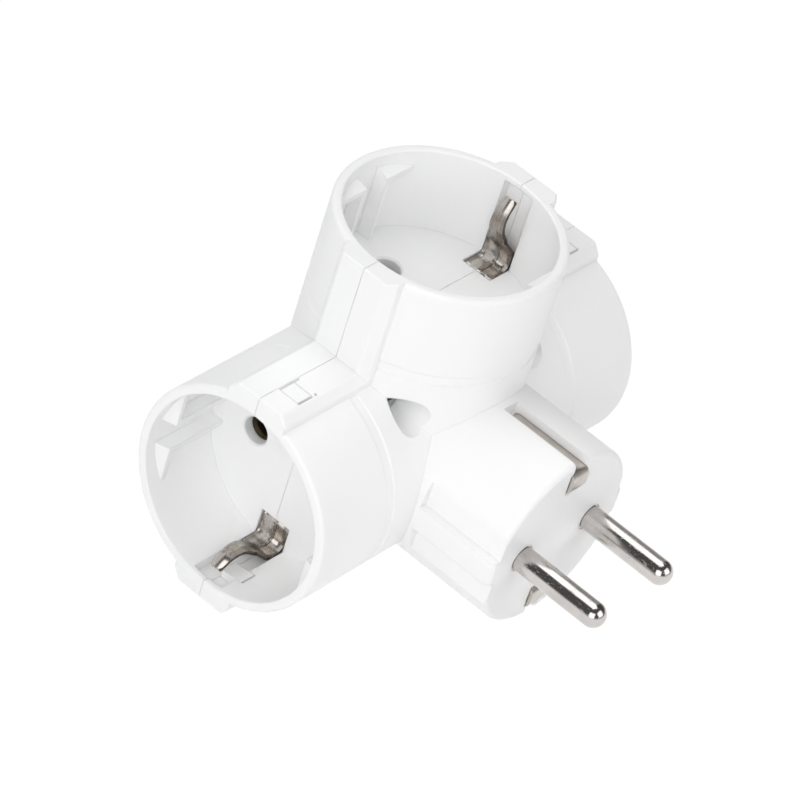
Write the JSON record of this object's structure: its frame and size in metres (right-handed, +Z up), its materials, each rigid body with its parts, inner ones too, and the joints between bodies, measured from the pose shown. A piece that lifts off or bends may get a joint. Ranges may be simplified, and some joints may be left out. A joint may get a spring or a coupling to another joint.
{
  "type": "multi socket adapter",
  "caption": "Mains socket adapter: a round earthed plug in front, recessed earthed sockets facing left, right and up, in a white housing split across the sockets.",
  "frame": {"origin": "middle of the plug's front face, between its pins", "axes": "-Y the way the pins point, +X to the right socket with the pins in front, +Z up to the upper socket"},
  "size_m": [0.0866, 0.08, 0.0667],
  "materials": {
    "front_shell": "smooth satin white",
    "rear_shell": "smooth satin white",
    "retainer": "plain moulded",
    "pin": "polished nickel plate",
    "strap": "nickel-plated strip",
    "spring": "bright nickel-plated spring strip",
    "earth_metal": "plated sheet",
    "contact_metal": "plain brass sheet",
    "screw": "zinc plate"
  },
  "bodies": {
    "root": {"front_housing": "front_shell", "rear_housing": "rear_shell", "pin_retainer": "retainer", "plug_pin_left": "pin", "plug_pin_right": "pin", "plug_earth_strap": "strap", "earth_plate": "earth_metal", "front_contact_bar": "contact_metal", "rear_contact_bar": "contact_metal", "screw_left": "screw", "screw_right": "screw", "earth_bracket_left": "spring", "front_sleeve_left": "contact_metal", "rear_sleeve_left": "contact_metal", "earth_bracket_top": "spring", "front_sleeve_top": "contact_metal", "rear_sleeve_top": "contact_metal", "earth_bracket_right": "spring", "front_sleeve_right": "contact_metal", "rear_sleeve_right": "contact_metal"}
  },
  "joints": []
}
